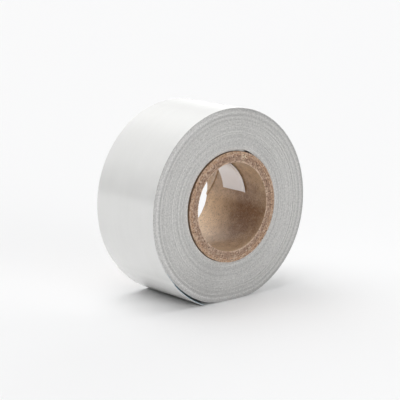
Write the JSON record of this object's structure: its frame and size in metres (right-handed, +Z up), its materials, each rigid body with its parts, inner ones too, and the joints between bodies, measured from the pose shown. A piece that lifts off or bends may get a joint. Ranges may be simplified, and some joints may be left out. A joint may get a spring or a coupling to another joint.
{
  "type": "roll of reflective tape",
  "caption": "Roll of satin silver reflective tape on its release liner, wound on a spiral paperboard core, with a loose tail whose film peels off the liner.",
  "frame": {"origin": "on the floor under the middle of the roll, where its rim stands", "axes": "+Y along the roll's axis from the front end to the back end, +Z up, +X to the right seen from the front"},
  "size_m": [0.0558, 0.0262, 0.055],
  "materials": {
    "kraft_board": "raw brown paperboard, fibrous cut edge",
    "kraft_liner_board": "smoother brown paperboard ply",
    "label_paper": "plain white paper, bare",
    "reflective_film": "satin silver-grey retroreflective film",
    "release_liner": "bluish silicone-coated release liner"
  },
  "bodies": {
    "roll": {"core_inner_ply": "kraft_liner_board", "core_body_ply_1": "kraft_board", "core_body_ply_2": "kraft_board", "core_body_ply_3": "kraft_board", "core_outer_ply": "kraft_liner_board", "core_label": "label_paper", "wound_liner": "release_liner", "wound_film": "reflective_film"},
    "tail": {"tail_liner": "release_liner", "tail_film_root": "reflective_film"},
    "film_tab": {"tail_film_tab": "reflective_film"}
  },
  "joints": [
    {"name": "tail_lift", "type": "hinge", "parent": "roll", "child": "tail", "pos_m": [-0.02151, 0, 0.0088], "axis": [0, 1, 0], "range_deg": [0, 110], "stiffness_Nm_per_rad": 0.002},
    {"name": "film_peel", "type": "hinge", "parent": "tail", "child": "film_tab", "pos_m": [-0.01795, 0, 0.00529], "axis": [0, 1, 0], "range_deg": [0, 90], "stiffness_Nm_per_rad": 0.001}
  ]
}
